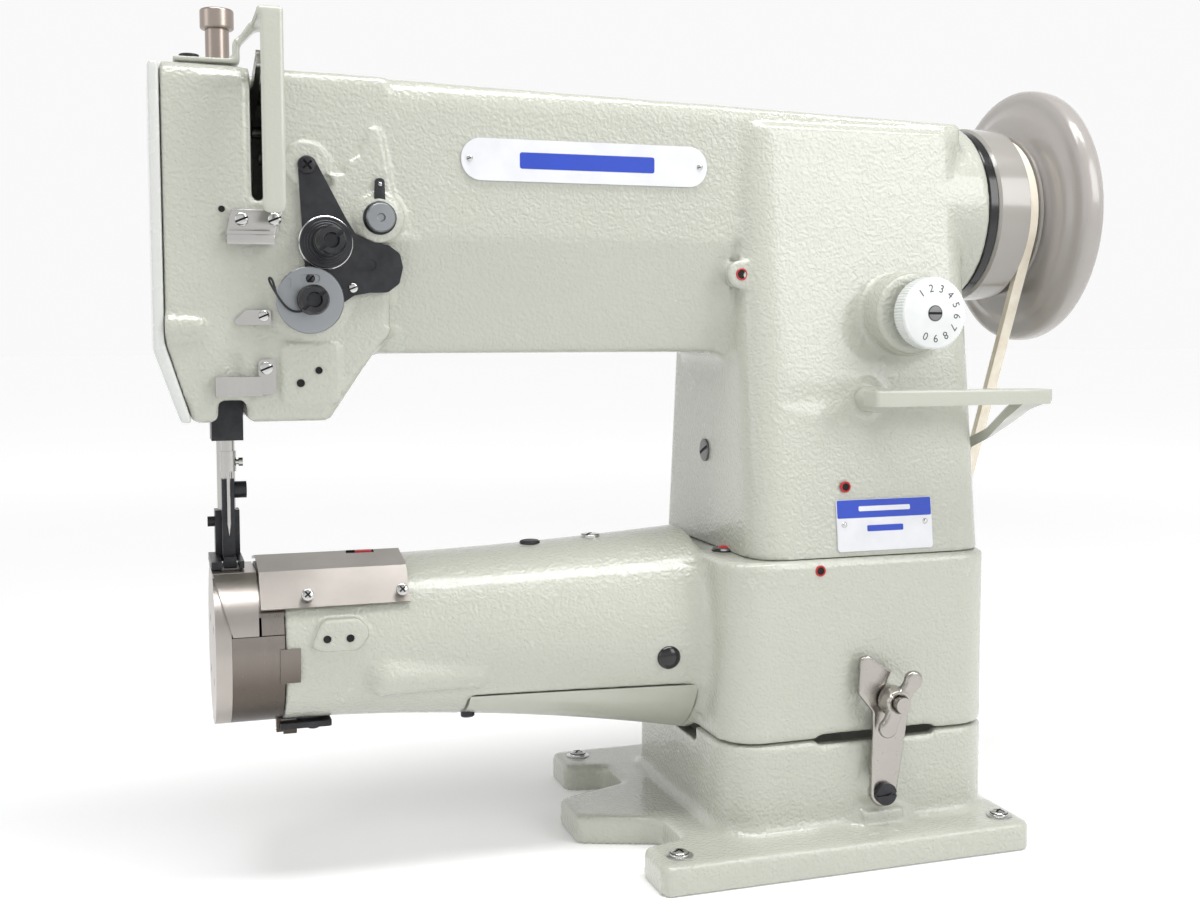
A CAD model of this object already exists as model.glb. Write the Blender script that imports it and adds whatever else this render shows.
"""Leather sewing machine: rounded castings, screws, plates, dial and finishes on the CAD frame."""

import math

import bmesh
import bpy
import numpy as np
import openvdb as vdb
from mathutils import Matrix, Vector


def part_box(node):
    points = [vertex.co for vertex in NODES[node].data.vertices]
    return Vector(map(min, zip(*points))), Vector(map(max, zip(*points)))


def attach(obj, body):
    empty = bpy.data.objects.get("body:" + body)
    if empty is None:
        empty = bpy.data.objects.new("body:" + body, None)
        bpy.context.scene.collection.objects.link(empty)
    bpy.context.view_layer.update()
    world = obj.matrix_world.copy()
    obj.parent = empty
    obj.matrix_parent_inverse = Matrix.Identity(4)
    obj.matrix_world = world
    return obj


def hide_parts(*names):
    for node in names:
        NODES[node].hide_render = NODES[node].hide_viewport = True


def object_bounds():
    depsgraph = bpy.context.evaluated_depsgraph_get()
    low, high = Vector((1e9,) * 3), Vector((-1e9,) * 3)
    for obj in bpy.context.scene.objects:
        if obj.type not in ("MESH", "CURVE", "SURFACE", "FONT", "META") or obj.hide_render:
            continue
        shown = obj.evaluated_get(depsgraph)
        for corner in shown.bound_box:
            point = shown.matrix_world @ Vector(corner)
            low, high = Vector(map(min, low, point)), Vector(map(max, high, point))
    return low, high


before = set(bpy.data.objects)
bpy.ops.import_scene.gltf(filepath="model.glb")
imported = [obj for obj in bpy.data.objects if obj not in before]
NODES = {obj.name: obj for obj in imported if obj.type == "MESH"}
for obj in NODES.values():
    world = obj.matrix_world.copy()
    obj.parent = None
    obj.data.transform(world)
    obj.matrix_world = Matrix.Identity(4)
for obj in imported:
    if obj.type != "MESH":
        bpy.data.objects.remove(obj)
cad_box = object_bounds()
MM = 0.001
FRONT = (0, -1, 0)
TOP = (0, 0, 1)
LEFT = (-1, 0, 0)

# ---------------------------------------------------------------- camera and light
scene = bpy.context.scene
camera_data = bpy.data.cameras.new("camera")
camera = bpy.data.objects.new("camera", camera_data)
scene.collection.objects.link(camera)
scene.camera = camera
camera.location = (-0.33480, -0.74298, 0.27468)
TURN, PITCH = math.radians(19.05), math.radians(4.06)
camera.rotation_euler = (math.radians(90) - PITCH, 0, -TURN)
camera_data.sensor_width = 36
camera_data.lens = 43.57
camera_data.shift_x = -0.0374
camera_data.shift_y = -0.0168
camera_data.clip_start = 0.01
scene.view_settings.view_transform = "Standard"

world = bpy.data.worlds.new("studio")
scene.world = world
world.use_nodes = True
sky = world.node_tree
direction = sky.nodes.new("ShaderNodeTexCoord")
split = sky.nodes.new("ShaderNodeSeparateXYZ")
fade = sky.nodes.new("ShaderNodeValToRGB")
fade.color_ramp.elements[0].position = 0.36
fade.color_ramp.elements[0].color = (0.95, 0.95, 0.95, 1)
fade.color_ramp.elements[1].position = 0.75
fade.color_ramp.elements[1].color = (0.46, 0.46, 0.46, 1)
sky.links.new(direction.outputs["Generated"], split.inputs["Vector"])
sky.links.new(split.outputs["Z"], fade.inputs["Fac"])
sky.links.new(fade.outputs["Color"], sky.nodes["Background"].inputs["Color"])
sky.nodes["Background"].inputs["Strength"].default_value = 1.0


def area_light(name, at, target, width, height, power):
    data = bpy.data.lights.new(name, "AREA")
    data.shape = "RECTANGLE"
    data.size, data.size_y = width, height
    data.energy = power
    light = bpy.data.objects.new(name, data)
    scene.collection.objects.link(light)
    light.location = at
    aim = Vector(target) - Vector(at)
    light.rotation_euler = aim.to_track_quat("-Z", "Y").to_euler()
    return light


area_light("key_softbox", (0.9, -1.3, 1.0), (0.0, 0, 0.25), 0.7, 0.9, 9)
area_light("top_softbox", (-0.05, -0.30, 1.35), (0, 0, 0.3), 1.5, 0.30, 15)
area_light("left_softbox", (-1.7, -0.3, 0.7), (0, 0, 0.25), 0.6, 0.9, 2)


# ---------------------------------------------------------------- materials
def tree_of(name):
    material = bpy.data.materials.new(name)
    material.use_nodes = True
    tree = material.node_tree
    return material, tree, tree.nodes["Principled BSDF"]


def add(tree, kind, **values):
    node = tree.nodes.new(kind)
    for key, value in values.items():
        if key in node.inputs:
            node.inputs[key].default_value = value
        else:
            setattr(node, key, value)
    return node


def coords(tree, stretch=(1, 1, 1)):
    source = add(tree, "ShaderNodeTexCoord")
    mapping = add(tree, "ShaderNodeMapping")
    mapping.inputs["Scale"].default_value = stretch
    tree.links.new(source.outputs["Object"], mapping.inputs["Vector"])
    return mapping.outputs["Vector"]


def noise(tree, vector, scale, detail=3.0, rough=0.5):
    node = add(tree, "ShaderNodeTexNoise", Scale=scale, Detail=detail, Roughness=rough)
    tree.links.new(vector, node.inputs["Vector"])
    return node.outputs["Fac"]


def ramp(tree, factor, stops):
    node = add(tree, "ShaderNodeValToRGB")
    elements = node.color_ramp.elements
    while len(elements) < len(stops):
        elements.new(0.5)
    for element, (place, colour) in zip(elements, stops):
        element.position = place
        element.color = (*colour, 1)
    tree.links.new(factor, node.inputs["Fac"])
    return node.outputs["Color"]


def two_tone(tree, factor, low, high, start=0.3, end=0.7):
    return ramp(tree, factor, [(start, low), (end, high)])


def spread(tree, factor, low, high):
    node = add(tree, "ShaderNodeMapRange", **{"To Min": low, "To Max": high})
    tree.links.new(factor, node.inputs["Value"])
    return node.outputs["Result"]


def bump(tree, height, strength, distance, under=None):
    node = add(tree, "ShaderNodeBump", Strength=strength, Distance=distance)
    tree.links.new(height, node.inputs["Height"])
    if under is not None:
        tree.links.new(under, node.inputs["Normal"])
    return node.outputs["Normal"]


def shade(colour, factor):
    return tuple(min(1.0, c * factor) for c in colour)


def enamel(name, colour, pebble_size, pebble_height, gloss, spread_of_tone=1.0):
    """Sprayed enamel over a cast surface: orange peel, slow waviness and a little dust in the tone."""
    material, tree, shader = tree_of(name)
    vector = coords(tree)
    tone = noise(tree, vector, 14, 4)
    tree.links.new(two_tone(tree, tone, shade(colour, 1 - 0.016 * spread_of_tone),
        shade(colour, 1 + 0.014 * spread_of_tone)), shader.inputs["Base Color"])
    tree.links.new(spread(tree, noise(tree, vector, 60, 3), gloss - 0.05, gloss + 0.07),
        shader.inputs["Roughness"])
    waves = bump(tree, noise(tree, vector, 45, 2), 0.30 * spread_of_tone, 0.0006)
    cells = add(tree, "ShaderNodeTexVoronoi", feature="SMOOTH_F1", Scale=1 / pebble_size, Smoothness=0.8)
    bend = add(tree, "ShaderNodeMixRGB", blend_type="ADD", Fac=0.004)
    wander = add(tree, "ShaderNodeTexNoise", Scale=220, Detail=2)
    tree.links.new(vector, wander.inputs["Vector"])
    tree.links.new(vector, bend.inputs["Color1"])
    tree.links.new(wander.outputs["Color"], bend.inputs["Color2"])
    tree.links.new(bend.outputs["Color"], cells.inputs["Vector"])
    pebbles = bump(tree, cells.outputs["Distance"], 0.8, pebble_height, waves)
    fine = bump(tree, noise(tree, vector, 900, 2), 0.5, pebble_height * 0.4, pebbles)
    tree.links.new(fine, shader.inputs["Normal"])
    shader.inputs["Coat Weight"].default_value = 0.6
    shader.inputs["Coat Roughness"].default_value = 0.10
    shader.inputs["IOR"].default_value = 1.5
    return material


def metal(name, colour, rough, stretch=(1, 1, 1), grain=700, depth=0.00003, spots=0.04):
    """Plated or ground metal: brushing grain along one axis, a slow tone change and handling marks."""
    material, tree, shader = tree_of(name)
    vector = coords(tree, stretch)
    tone = noise(tree, coords(tree), 38, 5)
    tree.links.new(two_tone(tree, tone, shade(colour, 1 - 3 * spots), shade(colour, 1 + spots)),
        shader.inputs["Base Color"])
    tree.links.new(spread(tree, noise(tree, vector, grain, 3, 0.6), rough - 0.04, rough + 0.06),
        shader.inputs["Roughness"])
    tree.links.new(bump(tree, noise(tree, vector, grain, 3, 0.6), 0.06, depth), shader.inputs["Normal"])
    shader.inputs["Metallic"].default_value = 1.0
    return material


def worn_sleeve(name):
    """Brushed sleeve steel that is darker and browner towards its lower, oily side."""
    material = metal(name, (0.40, 0.365, 0.335), 0.28, stretch=(1, 1, 0.04), grain=1100, depth=0.00002)
    tree = material.node_tree
    shader = tree.nodes["Principled BSDF"]
    source = add(tree, "ShaderNodeTexCoord")
    split = add(tree, "ShaderNodeSeparateXYZ")
    tree.links.new(source.outputs["Object"], split.inputs["Vector"])
    height = add(tree, "ShaderNodeMapRange", **{"From Min": 0.078, "From Max": 0.150})
    tree.links.new(split.outputs["Z"], height.inputs["Value"])
    stops = [(0.0, (0.075, 0.062, 0.052)), (0.35, (0.13, 0.112, 0.097)), (0.72, (0.30, 0.27, 0.245)),
        (1.0, (0.46, 0.425, 0.395))]
    oil = ramp(tree, height.outputs["Result"], stops)
    mix = add(tree, "ShaderNodeMixRGB", blend_type="MULTIPLY", Fac=0.35)
    tree.links.new(oil, mix.inputs["Color1"])
    tree.links.new(two_tone(tree, noise(tree, coords(tree, (1, 1, 0.1)), 160, 4), (0.8, 0.8, 0.8),
        (1, 1, 1)), mix.inputs["Color2"])
    tree.links.new(mix.outputs["Color"], shader.inputs["Base Color"])
    return material


def black_oxide(name, colour, rough):
    material, tree, shader = tree_of(name)
    vector = coords(tree)
    tone = noise(tree, vector, 120, 5, 0.6)
    tree.links.new(two_tone(tree, tone, shade(colour, 0.75), shade(colour, 1.35), 0.35, 0.72),
        shader.inputs["Base Color"])
    tree.links.new(spread(tree, noise(tree, vector, 500, 3), rough - 0.08, rough + 0.12),
        shader.inputs["Roughness"])
    tree.links.new(bump(tree, noise(tree, vector, 1400, 2), 0.3, 0.00004), shader.inputs["Normal"])
    shader.inputs["Metallic"].default_value = 0.55
    return material


def belt_cloth(name):
    """Cream canvas cover of the round belt, with a diagonal weave."""
    material, tree, shader = tree_of(name)
    vector = coords(tree)
    weave = add(tree, "ShaderNodeTexWave", Scale=420, Distortion=1.5, Detail=1.0)
    weave.bands_direction = "DIAGONAL"
    tree.links.new(vector, weave.inputs["Vector"])
    tree.links.new(two_tone(tree, noise(tree, vector, 90, 4), (0.72, 0.65, 0.53), (0.86, 0.80, 0.69)),
        shader.inputs["Base Color"])
    tree.links.new(bump(tree, weave.outputs["Fac"], 0.4, 0.0001), shader.inputs["Normal"])
    shader.inputs["Roughness"].default_value = 0.85
    return material


def plastic(name, colour, rough, grain=500):
    material, tree, shader = tree_of(name)
    vector = coords(tree)
    tree.links.new(two_tone(tree, noise(tree, vector, 70, 4), shade(colour, 0.94), shade(colour, 1.04)),
        shader.inputs["Base Color"])
    tree.links.new(spread(tree, noise(tree, vector, grain, 2), rough - 0.05, rough + 0.08),
        shader.inputs["Roughness"])
    tree.links.new(bump(tree, noise(tree, vector, grain * 2, 2), 0.25, 0.00005), shader.inputs["Normal"])
    return material


BODY = (0.432, 0.442, 0.384)
M_BODY = enamel("cast_enamel", BODY, 0.0018, 0.00055, 0.24)
M_PANEL = enamel("panel_enamel", shade(BODY, 0.99), 0.0017, 0.00008, 0.30)
M_FACE = enamel("face_enamel", (0.56, 0.57, 0.55), 0.0017, 0.00006, 0.26)
M_WHEEL = enamel("wheel_enamel", (0.330, 0.308, 0.290), 0.0009, 0.00002, 0.22, spread_of_tone=0.3)
M_HUB = enamel("hub_enamel", (0.300, 0.284, 0.262), 0.0009, 0.00002, 0.20, spread_of_tone=0.3)
M_NICKEL = metal("satin_nickel", (0.40, 0.38, 0.352), 0.25, grain=300, depth=0.00001, spots=0.02)
M_STEEL = metal("ground_steel", (0.50, 0.49, 0.475), 0.22, stretch=(1, 1, 0.05), grain=400, depth=0.00001,
    spots=0.02)
M_SILVER = metal("screw_silver", (0.56, 0.56, 0.55), 0.20, grain=1200, spots=0.03)
M_DISC = metal("disc_steel", (0.30, 0.315, 0.33), 0.32, grain=1200, spots=0.02)
M_COVER = metal("brushed_steel", (0.47, 0.435, 0.405), 0.30, stretch=(0.04, 1, 1), grain=1100, depth=0.00002)
M_SLEEVE = worn_sleeve("oiled_sleeve_steel")
M_BLACK = black_oxide("black_oxide", (0.030, 0.031, 0.034), 0.33)
M_GLOSS_BLACK = plastic("black_plug", (0.012, 0.012, 0.013), 0.14)
M_DARK = black_oxide("dark_bore", (0.012, 0.012, 0.012), 0.6)
M_IRON = metal("machined_iron", (0.22, 0.22, 0.22), 0.45, grain=500, depth=0.00008)
M_BRONZE = metal("bronze", (0.55, 0.40, 0.20), 0.38)
M_THREAD = metal("threaded_steel", (0.36, 0.31, 0.275), 0.30)
M_BELT = belt_cloth("belt_canvas")
M_RUBBER = plastic("timing_rubber", (0.025, 0.025, 0.025), 0.7)
M_DIAL = plastic("dial_white", (0.66, 0.68, 0.67), 0.34)
M_INK = plastic("dial_ink", (0.05, 0.055, 0.06), 0.5)
M_PLATE = plastic("plate_silver_white", (0.66, 0.67, 0.70), 0.3)
M_BLUE = plastic("plate_blue", (0.014, 0.052, 0.42), 0.32)
M_RED = plastic("oil_hole_red", (0.42, 0.012, 0.016), 0.3)

SLOT_LOOK = {
    "body_enamel": M_BODY, "wheel_enamel": M_WHEEL, "nickel": M_NICKEL, "bright_steel": M_STEEL,
    "brushed_cover_steel": M_COVER, "black_oxide": M_BLACK, "cast_inner": M_IRON, "bronze": M_BRONZE,
    "belt_fabric": M_BELT, "timing_rubber": M_RUBBER, "dial_plastic": M_DIAL, "plate_white": M_PLATE,
    "red_plastic": M_RED,
}
NODE_LOOK = {
    "arm_bottom_cover": M_PANEL, "rear_cover": M_PANEL, "face_plate": M_PANEL, "take_up_guard": M_PANEL,
    "reverse_lever": M_PANEL, "pulley_hub": M_HUB, "tension_discs": M_SILVER, "presser_adjuster": M_THREAD,
    "hook_door": M_SLEEVE, "rear_sleeve": M_SLEEVE,
}
SLOT_OF = {}
for node_name, node_object in NODES.items():
    held = node_object.data.materials
    SLOT_OF[node_name] = held[0].name.split(".")[0]
    look = NODE_LOOK.get(node_name, SLOT_LOOK[SLOT_OF[node_name]])
    for index in range(len(held)):
        held[index] = look


# ---------------------------------------------------------------- mesh helpers, in millimetres
def frame_matrix(at, axis, roll=0.0):
    """Local +Z goes along axis; local +Y stays as near to world +Z as it can."""
    z = Vector(axis).normalized()
    up = Vector((0, 0, 1)) if abs(z.z) < 0.9 else Vector((0, 1, 0))
    x = up.cross(z).normalized()
    y = z.cross(x)
    turned = Matrix((x, y, z)).transposed().to_4x4() @ Matrix.Rotation(roll, 4, "Z")
    return Matrix.Translation(Vector(at)) @ turned


def standing(y):
    """Turns a piece drawn in x, z upright, with its back on the plane y."""
    return Matrix(((1, 0, 0, 0), (0, 0, -1, y), (0, 1, 0, 0), (0, 0, 0, 1)))


def linked(name, data):
    made = bpy.data.objects.new(name, data)
    scene.collection.objects.link(made)
    return made


def evaluated_mesh(thing):
    bpy.context.view_layer.update()
    return bpy.data.meshes.new_from_object(thing.evaluated_get(bpy.context.evaluated_depsgraph_get()))


def skin(bm, loops):
    """Joins loops of four corners into one closed tube."""
    for a, b in zip(loops, loops[1:]):
        for i in range(4):
            bm.faces.new((a[i], a[(i + 1) % 4], b[(i + 1) % 4], b[i]))
    bm.faces.new(loops[0][::-1])
    bm.faces.new(loops[-1])


def piece_from(bm, name):
    bmesh.ops.remove_doubles(bm, verts=bm.verts, dist=1e-5)
    bmesh.ops.recalc_face_normals(bm, faces=bm.faces)
    data = bpy.data.meshes.new(name)
    bm.to_mesh(data)
    bm.free()
    return linked(name, data)


def lathe(name, profile, segments=48):
    """A turned piece about local Z from (radius, height) pairs; a radius of 0 closes it on the axis."""
    bm = bmesh.new()
    rings = []
    for radius, height in profile:
        if radius < 1e-6:
            rings.append([bm.verts.new((0, 0, height))])
            continue
        ring = []
        for i in range(segments):
            a = math.tau * i / segments
            ring.append(bm.verts.new((radius * math.cos(a), radius * math.sin(a), height)))
        rings.append(ring)
    for low, high in zip(rings, rings[1:]):
        for i in range(segments):
            j = (i + 1) % segments
            corners = [low[i % len(low)], low[j % len(low)], high[j % len(high)], high[i % len(high)]]
            unique = list(dict.fromkeys(corners))
            if len(unique) > 2:
                bm.faces.new(unique)
    return piece_from(bm, name)


def rounded_outline(points, radius, steps=6):
    """The corners of an outline turned into arcs."""
    count, result = len(points), []
    for i in range(count):
        before, here, after = (Vector(points[(i + k) % count]) for k in (-1, 0, 1))
        a, b = (before - here), (after - here)
        angle = a.angle(b)
        reach = min(radius / math.tan(angle / 2), 0.49 * a.length, 0.49 * b.length)
        arc_r = reach * math.tan(angle / 2)
        middle = here + (a.normalized() + b.normalized()).normalized() * (arc_r / math.sin(angle / 2))
        start = here + a.normalized() * reach
        end = here + b.normalized() * reach
        v0, v1 = start - middle, end - middle
        sweep = v0.angle_signed(v1)
        for k in range(steps + 1):
            turn = Matrix.Rotation(-sweep * k / steps, 2)
            result.append(tuple(middle + turn @ v0))
    return result


def rounded_box(x0, x1, y0, y1, radius, steps=6):
    return rounded_outline([(x0, y0), (x1, y0), (x1, y1), (x0, y1)], radius, steps)


def slab(name, outline, low, high, bevel=0.0, bevel_steps=2):
    """A flat piece: an outline in local x, y, from low to high, with softened edges."""
    bm = bmesh.new()
    bottom = [bm.verts.new((x, y, low)) for x, y in outline]
    top = [bm.verts.new((x, y, high)) for x, y in outline]
    bm.faces.new(bottom[::-1])
    cap = bm.faces.new(top)
    for i in range(len(outline)):
        j = (i + 1) % len(outline)
        bm.faces.new((bottom[i], bottom[j], top[j], top[i]))
    if bevel:
        rim = list(cap.edges)
        bmesh.ops.bevel(bm, geom=rim, offset=bevel, segments=bevel_steps, profile=0.6, affect="EDGES")
    return piece_from(bm, name)


def block(name, size, at=(0, 0, 0), bevel=0.0):
    bm = bmesh.new()
    bmesh.ops.create_cube(bm, size=1.0)
    bmesh.ops.scale(bm, verts=bm.verts, vec=size)
    bmesh.ops.translate(bm, verts=bm.verts, vec=at)
    if bevel:
        bmesh.ops.bevel(bm, geom=list(bm.edges), offset=bevel, segments=2, profile=0.6, affect="EDGES")
    return piece_from(bm, name)


def cut(target, cutter):
    """Takes the cutter out of the target and throws the cutter away."""
    modifier = target.modifiers.new("cut", "BOOLEAN")
    modifier.operation = "DIFFERENCE"
    modifier.solver = "EXACT"
    modifier.object = cutter
    worked = evaluated_mesh(target)
    target.modifiers.clear()
    target.data = worked
    bpy.data.objects.remove(cutter)
    return target


def join(name, pieces):
    """Several meshes as one piece, each keeping its own material."""
    bm = bmesh.new()
    materials = []
    for part in pieces:
        start = len(bm.faces)
        bm.from_mesh(part.data)
        bm.faces.ensure_lookup_table()
        slots = list(part.data.materials) or [None]
        for face in bm.faces[start:]:
            used = slots[min(face.material_index, len(slots) - 1)]
            if used not in materials:
                materials.append(used)
            face.material_index = materials.index(used)
        bpy.data.objects.remove(part)
    data = bpy.data.meshes.new(name)
    bm.to_mesh(data)
    bm.free()
    for used in materials:
        data.materials.append(used)
    return linked(name, data)


def painted(part, material):
    part.data.materials.clear()
    part.data.materials.append(material)
    for face in part.data.polygons:
        face.material_index = 0
    return part


def turned(name, profile, segments, material):
    return painted(lathe(name, profile, segments), material)


def placed(part, at, axis=TOP, roll=0.0):
    part.data.transform(frame_matrix(at, axis, roll))
    return part


def finish_piece(part, body, smooth_angle=32.0):
    """From millimetres to metres, with smooth shading below an angle, riding on its body."""
    part.data.transform(Matrix.Scale(MM, 4))
    bm = bmesh.new()
    bm.from_mesh(part.data)
    limit = math.radians(smooth_angle)
    for edge in bm.edges:
        edge.smooth = len(edge.link_faces) == 2 and edge.calc_face_angle(0) < limit
    for face in bm.faces:
        face.smooth = True
    bm.to_mesh(part.data)
    bm.free()
    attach(part, body)
    return part


# ---------------------------------------------------------------- fasteners
def screw_head(name, radius, height, drive="slot", dome=0.5, material=None):
    """A screw head on local Z with its top at height: slotted, cross or hexagon socket."""
    rim = height * (1 - dome)
    profile = [(0, -1.0), (radius, -1.0), (radius, rim * 0.8), (radius * 0.985, rim)]
    for k in range(1, 7):
        a = k / 7 * math.pi / 2
        profile.append((radius * 0.985 * math.cos(a), rim + (height - rim) * math.sin(a)))
    profile.append((0, height))
    head = turned(name, profile, 40, material)
    deep = height * 0.55
    if drive == "slot":
        tool = block("cutter", (radius * 2.4, radius * 0.30, deep * 2), (0, 0, height))
        cut(head, tool)
    elif drive == "cross":
        for turn in (0, math.pi / 2):
            tool = block("cutter", (radius * 1.25, radius * 0.24, deep * 2), (0, 0, height))
            tool.data.transform(Matrix.Rotation(turn + 0.3, 4, "Z"))
            cut(head, tool)
    elif drive == "hex":
        tool = lathe("cutter", [(0, height - deep), (radius * 0.52, height - deep),
            (radius * 0.52, height + 1), (0, height + 1)], 6)
        cut(head, tool)
    painted(head, material)
    head.data.materials.append(M_DARK)
    for face in head.data.polygons:
        middle = face.center
        low_face = 0 < middle.z < height - 0.72 * deep
        if drive != "none" and low_face and math.hypot(middle.x, middle.y) < 0.93 * radius:
            face.material_index = 1
    return head


def screw(name, at, axis, radius, height, drive, material, body, roll=0.4, dome=0.5):
    head = screw_head(name, radius, height, drive, dome, material)
    placed(head, at, axis, roll)
    return finish_piece(head, body, 28)


def hole(name, at, axis, radius, body, ring=None, lip=0.9):
    """A small bore: a thin lip on the painted face round a dark disc."""
    outer = turned(name, [(radius + lip, -0.9), (radius + lip, 0.25), (radius + lip * 0.6, 0.55),
        (radius + 0.1, 0.5), (radius, 0.2)], 36, ring or M_BODY)
    inner = turned(name + "_in", [(radius, 0.2), (radius * 0.5, 0.12), (0, 0.12)], 36, M_DARK)
    both = placed(join(name, [outer, inner]), at, axis)
    return finish_piece(both, body, 40)


# ---------------------------------------------------------------- castings as level sets, in millimetres
def mesh_arrays(node):
    data = NODES[node].data
    data.calc_loop_triangles()
    points = np.zeros(len(data.vertices) * 3, np.float32)
    data.vertices.foreach_get("co", points)
    faces = np.zeros(len(data.loop_triangles) * 3, np.int32)
    data.loop_triangles.foreach_get("vertices", faces)
    return points.reshape(-1, 3) / MM, faces.reshape(-1, 3).astype(np.uint32)


MARGIN = 6         # lattice cells kept free round a node
FAR = 999.0        # beyond every piece, in millimetres
SIDES_OF_HOLLOW = 5  # of six directions that must meet metal, for a cell to lie in the hollow
HOLLOW_GROWTH = 2  # cells by which the hollow reaches into its walls, so that they open cleanly


class Solid:
    """A signed distance field in millimetres on a fixed lattice round one CAD node."""

    def __init__(self, node, voxel, band=8.0):
        self.node, self.voxel, self.band = node, voxel, band
        self.transform = vdb.createLinearTransform(voxelSize=voxel)
        low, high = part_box(node)
        self.first = tuple(int(math.floor(c / MM / voxel)) - MARGIN for c in low)
        last = tuple(int(math.ceil(c / MM / voxel)) + MARGIN for c in high)
        self.shape = tuple(b - a + 1 for a, b in zip(self.first, last))
        axes = [(np.arange(n) + f) * voxel for n, f in zip(self.shape, self.first)]
        self.x = axes[0][:, None, None].astype(np.float32)
        self.y = axes[1][None, :, None].astype(np.float32)
        self.z = axes[2][None, None, :].astype(np.float32)
        points, faces = mesh_arrays(node)
        self.grid = vdb.FloatGrid.createLevelSetFromPolygons(points, triangles=faces,
            transform=self.transform, halfWidth=band)
        self.d = self.array(self.grid)
        self.sharp = self.d.copy()
        self.fill_hollow()

    def fill_hollow(self):
        """The hollow is filled while the outside is worked on, and opened again in mesh()."""
        solid = self.d < 0
        hits = np.zeros(self.shape, np.int8)
        for axis in range(3):
            hits += np.maximum.accumulate(solid, axis=axis)
            hits += np.flip(np.maximum.accumulate(np.flip(solid, axis), axis=axis), axis)
        hollow = (hits >= SIDES_OF_HOLLOW) & ~solid
        filled = np.where(hollow, np.float32(-self.voxel), self.d)
        self.hollow = hollow.copy()
        for _ in range(HOLLOW_GROWTH):
            grown = self.hollow.copy()
            for axis in range(3):
                grown |= np.roll(self.hollow, 1, axis) | np.roll(self.hollow, -1, axis)
            self.hollow = grown
        grid = self.grid_of(filled)
        self.grid = self.moved(grid, 0.0, 0.0)
        self.d = self.array(self.grid)

    def grid_of(self, values):
        grid = vdb.FloatGrid(float(self.band * self.voxel))
        grid.gridClass = vdb.GridClass.LEVEL_SET
        grid.transform = self.transform
        grid.copyFromArray(np.ascontiguousarray(values, np.float32), ijk=self.first, tolerance=0.0)
        return grid

    def array(self, grid):
        values = np.full(self.shape, self.band * self.voxel, np.float32)
        grid.copyToArray(values, ijk=self.first)
        return values

    def moved(self, grid, first, second):
        """Offsets the surface out and back, which rounds its corners."""
        points, tris, quads = grid.convertToPolygons(isovalue=first, adaptivity=0.0)
        offset = vdb.FloatGrid.createLevelSetFromPolygons(points, triangles=tris, quads=quads,
            transform=self.transform, halfWidth=self.band)
        points, tris, quads = offset.convertToPolygons(isovalue=second, adaptivity=0.0)
        return vdb.FloatGrid.createLevelSetFromPolygons(points, triangles=tris, quads=quads,
            transform=self.transform, halfWidth=self.band)

    def inside(self, x=(-FAR, FAR), y=(-FAR, FAR), z=(-FAR, FAR)):
        spans = ((self.x, x), (self.y, y), (self.z, z))
        first, second, third = ((axis > low) & (axis < high) for axis, (low, high) in spans)
        return first & second & third

    def round_edges(self, radius, where=None):
        rounded = self.array(self.moved(self.grid, -radius, radius))
        self.d = np.where(where, rounded, self.d) if where is not None else rounded

    def fill_corners(self, radius, where):
        filled = self.array(self.moved(self.grid, radius, -radius))
        self.d = np.where(where, np.minimum(filled, self.d), self.d)

    def join_in(self, other, blend):
        h = np.clip(0.5 + 0.5 * (other - self.d) / blend, 0, 1)
        self.d = other * (1 - h) + self.d * h - blend * h * (1 - h)

    def take_out(self, other, blend=0.3):
        h = np.clip(0.5 - 0.5 * (other + self.d) / blend, 0, 1)
        self.d = self.d * (1 - h) - other * h + blend * h * (1 - h)

    def prism_y(self, outline, y_low, y_high):
        """Distance to an outline in x, z carried from y_low to y_high."""
        px, pz = np.broadcast_arrays(self.x[:, 0, :], self.z[0, 0, :][None, :])
        flat = self.outline_distance(outline, px, pz)[:, None, :]
        deep = np.maximum(y_low - self.y, self.y - y_high)
        return np.maximum(flat, deep)

    @staticmethod
    def outline_distance(outline, px, pz):
        best = np.full(px.shape, 1e9, np.float32)
        inside = np.zeros(px.shape, bool)
        count = len(outline)
        for i in range(count):
            ax, az = outline[i]
            bx, bz = outline[(i + 1) % count]
            ex, ez = bx - ax, bz - az
            t = np.clip(((px - ax) * ex + (pz - az) * ez) / (ex * ex + ez * ez), 0, 1)
            best = np.minimum(best, (px - ax - ex * t) ** 2 + (pz - az - ez * t) ** 2)
            crosses = (az > pz) != (bz > pz)
            side = (bx - ax) * (pz - az) / (bz - az if bz != az else 1e-9) + ax
            inside ^= crosses & (px < side)
        return np.where(inside, -np.sqrt(best), np.sqrt(best)).astype(np.float32)

    def rod_y(self, x, z, radius, y_low, y_high):
        return np.maximum(np.sqrt((self.x - x) ** 2 + (self.z - z) ** 2) - radius,
            np.maximum(y_low - self.y, self.y - y_high))

    def capsule(self, a, b, ra, rb):
        ax, ay, az = a
        ex, ey, ez = (q - p for p, q in zip(a, b))
        t = np.clip(((self.x - ax) * ex + (self.y - ay) * ey + (self.z - az) * ez) / (ex * ex + ey * ey
            + ez * ez), 0, 1)
        away = np.sqrt((self.x - ax - ex * t) ** 2 + (self.y - ay - ey * t) ** 2
            + (self.z - az - ez * t) ** 2)
        return away - (ra + (rb - ra) * t)

    def slab_box(self, x, y, z, r=0.0):
        qx = np.abs(self.x - (x[0] + x[1]) / 2) - (x[1] - x[0]) / 2 + r
        qy = np.abs(self.y - (y[0] + y[1]) / 2) - (y[1] - y[0]) / 2 + r
        qz = np.abs(self.z - (z[0] + z[1]) / 2) - (z[1] - z[0]) / 2 + r
        out = np.sqrt(np.maximum(qx, 0) ** 2 + np.maximum(qy, 0) ** 2 + np.maximum(qz, 0) ** 2)
        return out + np.minimum(np.maximum(qx, np.maximum(qy, qz)), 0) - r

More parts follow.
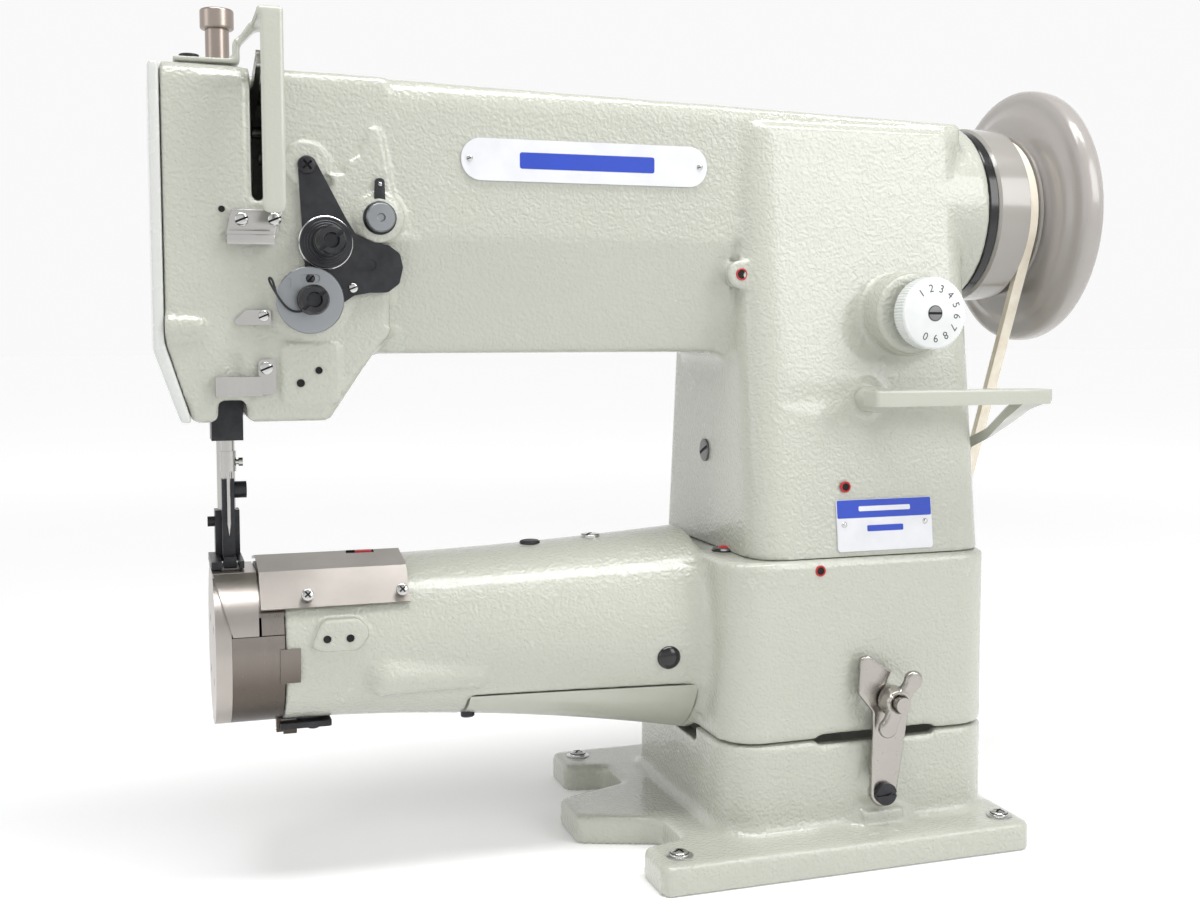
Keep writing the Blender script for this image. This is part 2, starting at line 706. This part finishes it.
    def clamp_to_cad(self):
        """Nothing stands outside the CAD node's own box."""
        low, high = (tuple(c / MM for c in corner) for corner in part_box(self.node))
        for axis, a, b in zip((self.x, self.y, self.z), low, high):
            self.d = np.maximum(self.d, np.maximum(a - axis, axis - b))

    def mesh(self, name, material, body):
        self.clamp_to_cad()
        opened = np.where(self.hollow, np.maximum(self.d, self.sharp), self.d)
        grid = self.grid_of(opened)
        points, tris, quads = grid.convertToPolygons(isovalue=0.0, adaptivity=0.0)
        data = bpy.data.meshes.new(name)
        data.vertices.add(len(points))
        data.vertices.foreach_set("co", (points.astype(np.float32) * MM).ravel())
        data.loops.add(quads.size)
        data.loops.foreach_set("vertex_index", quads.astype(np.int32)[:, ::-1].ravel())
        data.polygons.add(len(quads))
        data.polygons.foreach_set("loop_start", np.arange(0, quads.size, 4, dtype=np.int32))
        data.polygons.foreach_set("use_smooth", np.ones(len(quads), bool))
        data.update(calc_edges=True)
        data.validate()
        data.materials.append(material)
        made = linked(name, data)
        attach(made, body)
        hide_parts(self.node)
        return made


ARM_VOXEL, CASTING_VOXEL = ((1.3, 1.4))


def make_arm():
    arm = Solid("arm_casting", ARM_VOXEL)
    away_from_face_plate = arm.inside(x=(-317, FAR))
    arm.round_edges(2.3, away_from_face_plate & ~arm.inside(x=(-287, -278), z=(331, FAR))
        & ~arm.inside(z=(-FAR, 160)))
    arm.fill_corners(9.0, arm.inside(x=(-60, -20), y=(-80, 80), z=(235, 330))
        | arm.inside(x=(-250, -190), z=(376, 405)))
    arm.fill_corners(6.0, arm.inside(x=(-262, -215), z=(255, 275)))
    arm.join_in(arm.slab_box((-309, -289), (-41.9, -39.2), (248, 389)), 2.0)
    # raised land behind the thread tensions, with its stepped upper edge
    land = [(-263.5, 352), (-251.4, 346), (-243.5, 346), (-241.2, 352), (-235.2, 356), (-232.6, 365),
        (-230.6, 369), (-227.0, 369), (-224.6, 364), (-221.2, 344), (-218.5, 330), (-221.8, 318),
        (-240, 316), (-262, 318)]
    arm.join_in(arm.prism_y(land, -44.1, -36), 0.9)
    arm.join_in(arm.rod_y(-260.5, 350.5, 10.5, -44.3, -36), 1.0)
    arm.join_in(arm.rod_y(-227.4, 326.5, 12.0, -45.4, -36), 1.2)
    arm.join_in(arm.capsule((-228, -38.9, 317.6), (-209.5, -39.9, 316.9), 5.0, 2.6), 1.4)
    arm.join_in(arm.rod_y(-260.0, 288.0, 18.6, -43.4, -28), 1.4)
    # lower pad on the head, rib by the face plate, and the groove over the needle bar
    pad = rounded_box(-273.8, -246.0, 267.6, 238.0, 4.0)
    arm.join_in(arm.prism_y(pad, -43.6, -34), 0.9)
    arm.join_in(arm.capsule((-330, -40.2, 275), (-311, -40.2, 275), 5.4, 5.0), 1.6)
    arm.take_out(arm.capsule((-294.6, -44.6, 246), (-294.6, -44.6, 259.5), 4.0, 4.0), 1.6)
    # raised boss behind the stitch dial and the oil-hole land at the arm's root
    arm.join_in(arm.rod_y(42.5, 281.5, 20.5, -79, -40), 3.0)
    arm.join_in(arm.rod_y(-42.4, 301.6, 7.2, -49, -30), 3.0)
    arm.join_in(arm.capsule((-118, 0, 385), (-118, 3, 385), 9.5, 9.5), 3.0)
    arm.take_out(arm.capsule((-22, -70.5, 238), (22, -71.5, 238), 4.0, 9.0), 6.0)
    return arm.mesh("arm_cast_body", M_BODY, "head")


def make_bed():
    bed = Solid("bed_casting", CASTING_VOXEL)
    cover_edge = bed.inside(x=(-187, -58), z=(-FAR, 96))
    sleeve_edge = bed.inside(x=(-FAR, -264))
    hook_cut = bed.inside(x=(-FAR, -205), z=(126, FAR))
    bed.round_edges(2.0, ~(cover_edge | sleeve_edge | hook_cut))
    bed.fill_corners(9.0, bed.inside(x=(-75, -36), z=(70, 150)))
    # flat-sided swelling under the hook shaft, and the pad round the two holes
    bed.join_in(bed.capsule((-225, -35.2, 103), (-180, -35.0, 100), 9.6, 5.4), 4.0)
    bed.take_out(bed.rod_y(-240.0, 101.0, 5.0, -50, -41.2), 3.0)
    bed.take_out(bed.slab_box((-10, 58), (-82, -66), (50, 63.9), 0.6), 0.2)
    # free way for the feed bar along the inside of the arm
    bed.take_out(bed.slab_box((-304, -96), (-28.5, -13.5), (93.5, 108.5), 1.0), 0.2)
    pad = rounded_outline([(-262, 121), (-256, 134), (-239, 134), (-232.5, 127), (-239, 118.5),
        (-257, 119)], 5.0)
    bed.join_in(bed.prism_y(pad, -42.3, -33), 1.2)
    return bed.mesh("bed_cast_body", M_BODY, "head")


def make_base():
    base = Solid("base_casting", CASTING_VOXEL)
    base.round_edges(3.0, base.inside(z=(5, 50)))
    base.join_in(base.slab_box((13, 37), (-83, -70), (4, 23.5), 2.0), 2.0)
    base.fill_corners(4.0, base.inside(z=(10, 22)))
    base.take_out(base.slab_box((-10, 58), (-82, -66), (59.1, 75), 0.6), 0.2)
    return base.mesh("base_cast_body", M_BODY, "base")


# ---------------------------------------------------------------- head details
SCREWS = (
    # name, at, axis, radius, height, drive, material, body
    ("screw_guide_left", (-290.4, -45.2, 324.0), FRONT, 3.1, 1.9, "slot", M_SILVER, "head"),
    ("screw_guide_right", (-275.6, -45.2, 324.3), FRONT, 3.1, 1.9, "slot", M_SILVER, "head"),
    ("screw_small_guide", (-281.2, -44.6, 279.7), FRONT, 2.5, 1.4, "slot", M_SILVER, "head"),
    ("screw_thread_band", (-280.4, -44.8, 255.4), FRONT, 3.0, 1.8, "slot", M_SILVER, "head"),
    ("screw_tension_plate", (-240.0, -45.4, 293.0), FRONT, 2.3, 1.6, "slot", M_SILVER, "head"),
    ("screw_tension_lobe", (-260.5, -45.4, 350.0), FRONT, 4.3, 2.2, "cross", M_BLACK, "head"),
    ("screw_bottom_cover", (-180.0, -13.0, 75.0), (0, -0.25, -0.97), 3.6, 2.4, "slot", M_BLACK, "head"),
    ("screw_hook_cover_left", (-262.5, -36.5, 146.0), (0, -0.96, 0.28), 3.0, 1.8, "cross", M_SILVER, "head"),
    ("screw_hook_cover_right", (-217.0, -36.5, 146.0), (0, -0.96, 0.28), 3.0, 1.8, "cross", M_SILVER, "head"),
    ("screw_latch_pivot", (24.2, -84.5, 33.0), FRONT, 5.6, 3.0, "slot", M_BLACK, "base"),
    ("screw_name_plate_left", (-183.0, -43.2, 356.2), FRONT, 1.5, 0.9, "slot", M_SILVER, "head"),
    ("screw_name_plate_right", (-63.5, -43.2, 356.0), FRONT, 1.5, 0.9, "slot", M_SILVER, "head"),
    ("screw_column_side", (-43.6, 0.0, 207.0), LEFT, 6.2, 1.0, "slot", M_IRON, "head"),
    ("screw_face_top", (-330.0, -30.0, 387.0), LEFT, 3.0, 0.2, "slot", M_SILVER, "head"),
    ("screw_face_low", (-330.0, -30.0, 275.0), LEFT, 3.0, 0.2, "slot", M_SILVER, "head"),
)
for name, at, axis, radius, height, drive, material, body in SCREWS:
    screw(name, at, axis, radius, height, drive, material, body)


def top_of_arm(x):
    """Height of the arm's sloping upper face."""
    return 396.0 + (385.0 - 396.0) * (x + 325.0) / 415.0


def oil_cap(name, at, axis, radius, material, dome_material=None):
    rim = turned(name, [(0, -1), (radius, -1), (radius, 0.9), (radius * 0.9, 1.7), (radius * 0.62, 2.0),
        (radius * 0.6, 1.5)], 48, material)
    middle = turned(name + "_mid", [(radius * 0.6, 1.5), (radius * 0.45, 2.5), (radius * 0.2, 2.9),
        (0, 3.0)], 48, dome_material or material)
    return finish_piece(placed(join(name, [rim, middle]), at, axis), "head", 40)


oil_cap("oil_plug_arm_left", (-220, 0, top_of_arm(-220)), TOP, 6.4, M_GLOSS_BLACK)
oil_cap("oil_plug_arm_right", (-41, 0, top_of_arm(-41)), TOP, 6.0, M_GLOSS_BLACK)
oil_cap("oil_plug_shelf", (-43.6, -30, 155.4), TOP, 7.0, M_GLOSS_BLACK, M_RED)
plug = turned("dome_plug", [(0, -2), (6.3, -2), (6.3, 0.3), (5.9, 1.4), (4.6, 2.5), (2.6, 3.2), (0, 3.5)],
    48, M_GLOSS_BLACK)
finish_piece(placed(plug, (-81.2, -46.6, 104.3), FRONT), "head", 60)
finish_piece(placed(screw_head("arm_top_screw", 5.4, 3.0, "slot", 0.35, M_BLACK), (-143.4, -2, 159.6),
    TOP), "head")
finish_piece(placed(screw_head("arm_top_screw_low", 5.0, 1.2, "slot", 0.6, M_SILVER), (-110, -2, 163.2),
    TOP, 0.9), "head")
finish_piece(placed(screw_head("guard_cap_screw", 4.6, 2.7, "hex", 0.25, M_BLACK), (-311.5, -30, 397.9),
    TOP), "head")

# base fixing screws, pan heads with washers
BOLT_X, BOLT_Y, PLATE_TOP = 90.75, 88.5, 15.1
for index, (x, y) in enumerate(((-BOLT_X, -BOLT_Y), (BOLT_X, -BOLT_Y), (-BOLT_X, BOLT_Y), (BOLT_X, BOLT_Y))):
    head = screw_head(f"base_screw_{index}", 4.9, 3.0, "cross", 0.7, M_SILVER)
    washer = turned("washer", [(4.0, -0.4), (6.8, -0.4), (6.8, 0.35), (6.4, 0.55), (4.0, 0.55)], 40, M_SILVER)
    both = join(f"base_screw_{index}", [head, washer])
    finish_piece(placed(both, (x, y, PLATE_TOP), TOP, 0.3 * index), "base")

# oil holes with a red mark, and plain bores
for name, at, radius in (("oil_hole_arm", (-42.4, -49.0, 301.6), 2.3),
        ("oil_hole_column", (7.7, -69.6, 191.9), 2.0), ("oil_hole_bed", (-9.8, -77.0, 150.1), 2.0)):
    hole(name, at, FRONT, radius, "head", ring=M_RED, lip=0.9)
for name, at, radius in (("bore_head", (-299.0, -42.1, 328.8), 1.5),
        ("bore_pad_right", (-256.3, -43.6, 254.1), 1.7), ("bore_pad_left", (-264.8, -43.6, 248.2), 1.9),
        ("bore_arm_left", (-254.2, -42.3, 124.9), 1.9), ("bore_arm_right", (-243.2, -42.3, 124.7), 1.9),
        ("bore_root", (-60.0, -48.5, 103.0), 2.3)):
    hole(name, at, FRONT, radius, "head", lip=0.35)

# ---------------------------------------------------------------- thread tensions
# centres in x, z, and the y of the plate's face
UPPER_TENSION, LOWER_TENSION, PRE_TENSION = (-252.5, 314.0), (-260.5, 287.0), (-227.3, 326.0)
TENSION_FACE = -46.0
BLACK_WASHERS = ((12.1, 1.0, 2.6), (10.4, 2.6, 3.4), (9.2, 3.4, 4.4), (8.0, 4.4, 5.6))


def tension_disc(radius, low, high, chamfer, material):
    profile = [(3, low), (radius - 0.3, low), (radius, low + chamfer), (radius, high - 0.3),
        (radius - 0.4, high), (3, high), (3, low)]
    return turned("disc", profile, 64, material)


def tension_stack():
    parts = []
    x, z = UPPER_TENSION
    for radius, low, high in ((12.6, 0.0, 1.0), *BLACK_WASHERS):
        disc = tension_disc(radius, low, high, 0.25, M_BLACK if low else M_SILVER)
        parts.append(placed(disc, (x, TENSION_FACE, z), FRONT))
    x, z = LOWER_TENSION
    dial = turned("dial", [(3.0, 0), (15.2, 0), (15.6, 0.4), (15.6, 1.4), (15.2, 1.9), (14.4, 2.0),
        (3.0, 2.2), (3.0, 0)], 96, M_SILVER)
    slot_cut = slab("cutter", rounded_box(-4.6, 4.6, 8.2, 12.0, 1.7), 0.8, 4)
    cut(dial, slot_cut)
    mark = slab("cutter", rounded_outline([(-11.5, 5.4), (-9.0, 5.4), (-8.4, 10.0), (-10.4, 10.0)], 0.5),
        1.4, 4)
    cut(dial, mark)
    painted(dial, M_DISC)
    parts.append(placed(dial, (x, TENSION_FACE - 3.0, z), FRONT))
    small = screw_head("small", 2.1, 2.6, "slot", 0.5, M_BLACK)
    parts.append(placed(small, (x + 0.3, TENSION_FACE - 3.0, z + 10.1), FRONT, 0.8))
    for radius, low, high, material in ((13.6, 0.0, 1.2, M_SILVER), (12.0, 1.2, 3.0, M_BLACK)):
        parts.append(placed(tension_disc(radius, low, high, 0.3, material), (x, TENSION_FACE + 0.2, z),
            FRONT))
    x, z = PRE_TENSION
    parts.append(placed(turned("ring", [(3, -1), (7.6, -1), (7.9, 0), (7.9, 2.8), (7.2, 3.6), (3, 3.6),
        (3, -1)], 56, M_BLACK), (x, -45.0, z), FRONT))
    nut = turned("nut", [(0, 3.4), (6.6, 3.4), (6.9, 4.0), (6.9, 6.4), (6.3, 7.2), (2.0, 7.4), (1.6, 5.6),
        (0, 5.4)], 56, M_DISC)
    parts.append(placed(nut, (x, -45.0, z), FRONT))
    tab_outline = rounded_outline([(-2.6, 5.5), (3.0, 5.5), (2.6, 18.8), (-1.8, 18.8)], 1.6)
    parts.append(placed(painted(slab("tab", tab_outline, 0.0, 1.2, 0.3), M_BLACK), (x, -45.2, z), FRONT))
    parts.append(placed(screw_head("dot", 1.2, 1.7, "slot", 0.6, M_SILVER), (x + 0.6, -45.2, z + 16.0),
        FRONT))
    return join("thread_tension_discs", parts)


stack = finish_piece(tension_stack(), "head")
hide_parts("tension_discs")

bracket_outline = rounded_outline([(-264.6, 349.5), (-262.6, 353.6), (-258.6, 354.2), (-255.8, 350.5),
    (-242.5, 325), (-238.5, 318.6), (-230.0, 314.6), (-222.8, 313.4), (-217.6, 309.4), (-216.2, 303.0),
    (-218.0, 295.2), (-223.5, 291.0), (-232.0, 290.8), (-239.5, 289.4), (-246.5, 284.6), (-256, 285),
    (-262.0, 300)], 3.2, 8)
plate = painted(slab("tension_plate", bracket_outline, 0.0, 2.2, 0.45), M_BLACK)
dimple = lathe("cutter", [(0, 1.5), (2.7, 1.7), (2.9, 2.6), (0, 2.7)], 32)
dimple.data.transform(Matrix.Translation((-231.7, 304.0, 0)))
cut(plate, dimple)
painted(plate, M_BLACK)
plate.data.transform(standing(-43.2))
finish_piece(plate, "head", 30)
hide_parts("tension_bracket")


def tension_knob(name, at, radius, length, body, node):
    """A turned black nut with a grooved rim, a slotted end and a socket."""
    profile = [(0, 0), (radius, 0), (radius, length * 0.18), (radius * 0.86, length * 0.30),
        (radius * 0.86, length * 0.42), (radius, length * 0.52), (radius, length * 0.82),
        (radius * 0.86, length), (radius * 0.52, length), (radius * 0.44, length * 0.72),
        (0, length * 0.70)]
    knob = turned(name, profile, 56, M_BLACK)
    cut(knob, block("cutter", (radius * 2.4, radius * 0.24, length * 0.5), (0, 0, length)))
    painted(knob, M_BLACK)
    placed(knob, at, FRONT, 0.7)
    made = finish_piece(knob, body, 30)
    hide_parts(node)
    return made


KNOB_R = 6.9
for side, (x, z) in (("upper", UPPER_TENSION), ("lower", LOWER_TENSION)):
    low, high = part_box(side + "_tension_nut")
    length = (high.y - low.y) / MM
    tension_knob(side + "_tension_knob", (x, high.y / MM, z), KNOB_R, length, side + "_nut",
        side + "_tension_nut")


def wire(name, points, radius, material, body):
    """A bent wire through points in millimetres."""
    curve = bpy.data.curves.new(name, "CURVE")
    curve.dimensions = "3D"
    curve.bevel_depth = radius
    curve.bevel_resolution = 4
    curve.resolution_u = 12
    curve.use_fill_caps = True
    spline = curve.splines.new("NURBS")
    spline.points.add(len(points) - 1)
    for point, place in zip(spline.points, points):
        point.co = (*place, 1)
    spline.use_endpoint_u = True
    spline.order_u = 4
    holder = linked(name + "_curve", curve)
    data = evaluated_mesh(holder)
    bpy.data.objects.remove(holder)
    data.name = name
    return finish_piece(painted(linked(name, data), material), body, 60)


spring = wire("check_spring_wire", [(-264.5, -56.3, 282.0), (-268.0, -57.0, 281.0), (-272.0, -57.5, 283.0),
    (-275.5, -58.0, 288.0), (-278.6, -58.2, 293.4), (-280.0, -58.2, 296.5), (-279.0, -58.2, 297.6),
    (-277.6, -58.2, 295.0), (-276.6, -58.0, 290.0)], 0.55, M_BLACK, "check_spring")
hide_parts("check_spring")

# ---------------------------------------------------------------- stitch dial
FIGURE_CIRCLE, FIRST_FIGURE, FIGURE_STEP, FIGURE_SIZE = 12.6, 128, 27.0, 5.6  # mm, degrees, degrees, mm
DIAL_X, DIAL_Z = 46.0, 281.5
KNURLS, KNURL_DEPTH, KNURLED_OVER = 72, 0.32, 18.01


def dial_numbers():
    """Generic figures 1 to 9 and 0 round the dial, in relief of a tenth of a millimetre."""
    texts = []
    for index, figure in enumerate("1234567890"):
        angle = math.radians(FIRST_FIGURE - index * FIGURE_STEP)
        curve = bpy.data.curves.new("figure", "FONT")
        curve.body = figure
        curve.size = FIGURE_SIZE
        curve.extrude = 0.06
        curve.align_x = "CENTER"
        curve.align_y = "CENTER"
        holder = linked("figure", curve)
        data = evaluated_mesh(holder)
        bpy.data.objects.remove(holder)
        part = linked("figure", data)
        place = (FIGURE_CIRCLE * math.cos(angle), FIGURE_CIRCLE * math.sin(angle), 0)
        part.data.transform(Matrix.Translation(place) @ Matrix.Rotation(angle - math.pi / 2, 4, "Z"))
        texts.append(painted(part, M_INK))
    return texts


dial_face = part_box("stitch_dial")[0].y / MM
figures = dial_numbers()
knob_bm = bmesh.new()
knob_profile = [(0.0, 0.0), (16.9, 0.0), (17.6, -0.25), (18.0, -0.9)]
rings = []
for radius, height in knob_profile + [(18.05, -1.0), (18.05, -9.5), (17.2, -11.4)]:
    ring = []
    knurled = radius > KNURLED_OVER
    for i in range(KNURLS * 4):
        a = math.tau * i / (KNURLS * 4)
        r = radius + (KNURL_DEPTH if knurled and i % 4 < 2 else 0.0)
        ring.append(knob_bm.verts.new((max(r, 0.001) * math.cos(a), max(r, 0.001) * math.sin(a), height)))
    rings.append(ring)
for high, low in zip(rings, rings[1:]):
    for i in range(len(high)):
        j = (i + 1) % len(high)
        knob_bm.faces.new((high[i], low[i], low[j], high[j]))
knob_bm.faces.new(rings[-1][::-1])
knob = painted(piece_from(knob_bm, "dial_knob"), M_DIAL)
collar = turned("collar", [(0, -19.6), (10.0, -19.6), (10.0, -11.0), (0, -11.0)], 48, M_DIAL)
middle = screw_head("middle", 4.1, 0.5, "slot", 0.6, M_IRON)
dial = placed(join("stitch_dial_knob", [knob, collar, middle] + figures),
    (DIAL_X, dial_face + 0.15, DIAL_Z), FRONT)
finish_piece(dial, "dial", 30)
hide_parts("stitch_dial")

# ---------------------------------------------------------------- name plates, generic and without lettering
upper_plate = painted(slab("upper_name_plate", rounded_box(-187.0, -59.5, 345.8, 366.2, 9.8, 10), 0.0, 1.0,
    0.25), M_PLATE)
band_a = painted(slab("upper_band", rounded_box(-158.0, -88.0, 352.0, 360.0, 1.2, 4), 0.9, 1.06), M_BLUE)
upper_badge = join("upper_badge", [upper_plate, band_a])
upper_badge.data.transform(standing(-42.1))
finish_piece(upper_badge, "head", 30)
lower_plate = painted(slab("lower_plate", rounded_box(-27.7, 27.7, -13.4, 13.4, 1.6, 4), 0.0, 0.9, 0.2),
    M_PLATE)
header = painted(slab("lower_header", rounded_box(-27.4, 27.4, 3.8, 13.2, 0.8, 3), 0.8, 1.0), M_BLUE)
line_a = painted(slab("lower_line", rounded_box(-15.0, 15.0, 7.2, 9.8, 0.6, 3), 0.95, 1.05), M_PLATE)
line_b = painted(slab("lower_line_b", rounded_box(-10.5, 10.5, -3.4, -0.2, 0.6, 3), 0.85, 1.0), M_BLUE)
rivets = []
for x in (-23.6, 23.6):
    rivet = screw_head("rivet", 1.7, 1.9, "none", 0.8, M_SILVER)
    rivet.data.transform(Matrix.Translation((x, 0.6, 0)))
    rivets.append(rivet)
lower_badge = join("lower_badge", [lower_plate, header, line_a, line_b] + rivets)
# the column's front leans back from its foot to the arm
FOOT_Z, FOOT_Y, BADGE_X, BADGE_Z = 155.5, -73.1, 29.7, 171.8
lean = (73.0 - 52.0) / (318.0 - FOOT_Z)
placed(lower_badge, (BADGE_X, FOOT_Y + lean * (BADGE_Z - FOOT_Z), BADGE_Z), (0, -1, lean))
finish_piece(lower_badge, "head", 30)
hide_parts("name_plates")

# ---------------------------------------------------------------- reverse lever
lever_z0, lever_z1 = 234.5, 242.3
lever_parts = []
bar_line = rounded_outline([(12, -95), (116, -95), (112, -84), (98, -80.5), (40, -78.5), (12, -78.5)], 2.5, 5)
bar = slab("lever_bar", bar_line, lever_z0, lever_z1, 1.0, 3)
lever_parts.append(painted(bar, M_PANEL))
brace = bmesh.new()
brace_sections = [((115.6, -93.0, 242.0), (98.0, -93.0, 236.5)),
    ((115.5, -80.0, 239.5), (96.0, -80.0, 228.0)), ((113.0, -62.0, 229.0), (96.0, -62.0, 216.0)),
    ((112.5, -40.0, 219.0), (96.0, -40.0, 208.0))]
loops = []
for (ox, oy, oz), (ix, iy, iz) in brace_sections:
    loops.append([brace.verts.new(c) for c in ((ox, oy, oz), (ox, oy, oz - 6.0), (ix, iy, iz - 2.0),
        (ix, iy, iz + 4.0))])
skin(brace, loops)
lever_parts.append(painted(piece_from(brace, "lever_brace"), M_PANEL))
boss = lathe("lever_boss", [(0, 0), (6.5, 0), (6.5, 24.0), (0, 24.0)], 56)
lever_parts.append(placed(painted(boss, M_PANEL), (22.5, -56.5, 237.0), FRONT))
lever = finish_piece(join("stitch_reverse_lever", lever_parts), "reverse", 35)
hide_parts("reverse_lever")

# ---------------------------------------------------------------- thread guide, ring, button, bracket
guide = slab("guide_plate", rounded_outline([(-294.8, 328.6), (-271.5, 328.6), (-275.8, 316.8),
    (-297.6, 316.8)], 1.2, 4), 0.0, 1.6, 0.35)
guide.data.transform(standing(-43.4))
lip = block("guide_lip", (21.4, 9.6, 1.5), (-286.8, -47.2, 316.2), 0.4)
edge = block("guide_edge", (21.4, 1.4, 4.6), (-286.8, -51.4, 314.6), 0.4)
finish_piece(join("upper_thread_guide", [painted(part, M_STEEL) for part in (guide, lip, edge)]), "head")

dark_ring = lathe("shaft_gap_ring", [(40.0, 0), (47.6, 0), (48.0, 0.6), (48.0, 5.0), (47.4, 5.6),
    (40.0, 5.6), (40.0, 0)], 96)
finish_piece(placed(painted(dark_ring, M_GLOSS_BLACK), (105.2, 0, 339.1), (1, 0, 0)), "head")

SLEEVE_R, SLEEVE_Z = 39.4, 118.0
strip = bmesh.new()
strip_rows = []
for k in range(13):
    z = 127.8 + k * 1.15
    y = -math.sqrt(SLEEVE_R ** 2 - (z - SLEEVE_Z) ** 2)
    strip_rows.append([strip.verts.new(c) for c in ((-284.2, y, z), (-273.7, y, z),
        (-273.7, y + 2.2, z - 0.4), (-284.2, y + 2.2, z - 0.4))])
skin(strip, strip_rows)
finish_piece(painted(piece_from(strip, "hook_window_strip"), M_SLEEVE), "head", 40)

button_low, button_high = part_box("clutch_button")
button_x = (button_low.x + button_high.x) / 2 / MM
button_y = (button_low.y + button_high.y) / 2 / MM
button_top = button_high.z / MM
cap = block("button_cap", (8.4, 3.4, 2.2), (button_x + 1.8, button_y - 0.8, button_top - 1.5), 0.5)
spring_tab = block("button_tab", (12.6, 1.3, 1.0), (button_x, button_y + 2.4, button_top - 1.2), 0.3)
stem = block("button_stem", (12.8, 6.6, 1.0), (button_x, button_y, button_top - 2.6), 0.3)
button = join("clutch_push_button", [painted(cap, M_RED), painted(spring_tab, M_BLACK),
    painted(stem, M_BLACK)])
finish_piece(button, "button")
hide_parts("clutch_button")

bracket = slab("sleeve_bracket", rounded_box(-274.4, -249.0, -13.0, 5.0, 2.0, 4), 74.6, 77.6, 0.6)
bracket_screw = screw_head("bracket_screw", 3.0, 1.4, "slot", 0.5, M_BLACK)
placed(bracket_screw, (-258.0, -9.0, 74.6), (0, 0, -1))
made = finish_piece(join("sleeve_hinge_bracket", [painted(bracket, M_BLACK), bracket_screw]), "head")
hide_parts("door_hinge_bracket")


NARROW_BAND = 7.0


def rounded_copy(node, name, voxel, edge_r, corner_r, material, body):
    """A worked metal part with its edges broken and its inner corners filled."""
    part = Solid(node, voxel, NARROW_BAND)
    part.round_edges(edge_r)
    if corner_r:
        part.grid = part.moved(part.grid_of(part.d), 0.0, 0.0)
        part.fill_corners(corner_r, part.inside())
    return part.mesh(name, material, body)


rounded_copy("wing_nut", "wing_nut_cast", 0.45, 1.3, 2.2, M_NICKEL, "wing_nut")
rounded_copy("latch_link", "latch_link_plate", 0.45, 0.5, 0, M_NICKEL, "latch")
rounded_copy("take_up_guard", "take_up_guard_cast", 0.7, 1.1, 2.0, M_PANEL, "head")
rounded_copy("handwheel", "handwheel_rim", 0.9, 1.3, 0, M_WHEEL, "main_shaft")
rounded_copy("face_plate", "face_plate_cast", 0.8, 1.0, 0, M_FACE, "head")
make_arm()
make_bed()
make_base()

# ---------------------------------------------------------------- floor
FLOOR_HALF, FLOOR_GAP = 14.0, 0.0002
CORNERS = ((-1, -1), (1, -1), (1, 1), (-1, 1))
floor_mesh = bpy.data.meshes.new("studio_floor")
floor_mesh.from_pydata([(x * FLOOR_HALF, y * FLOOR_HALF, 0) for x, y in CORNERS], [], [(0, 1, 2, 3)])
floor = linked("studio_floor", floor_mesh)
floor.location.z = cad_box[0][2] - FLOOR_GAP
floor_material, floor_tree, floor_shader = tree_of("floor_paper")
floor_tone = noise(floor_tree, coords(floor_tree), 3, 2)
floor_tree.links.new(two_tone(floor_tree, floor_tone, (0.86,) * 3, (0.88,) * 3),
    floor_shader.inputs["Base Color"])
floor_shader.inputs["Roughness"].default_value = 0.9
floor_shader.inputs["Emission Color"].default_value = (1, 1, 1, 1)
# the paper brightens away from the object until it meets the pale backdrop
away = add(floor_tree, "ShaderNodeVectorMath", operation="LENGTH")
floor_tree.links.new(coords(floor_tree), away.inputs[0])
glow = add(floor_tree, "ShaderNodeMapRange", interpolation_type="SMOOTHSTEP",
           **{"From Min": 0.5, "From Max": 2.4, "To Min": 0.13, "To Max": 0.40})
floor_tree.links.new(away.outputs["Value"], glow.inputs["Value"])
floor_tree.links.new(glow.outputs["Result"], floor_shader.inputs["Emission Strength"])
floor_mesh.materials.append(floor_material)
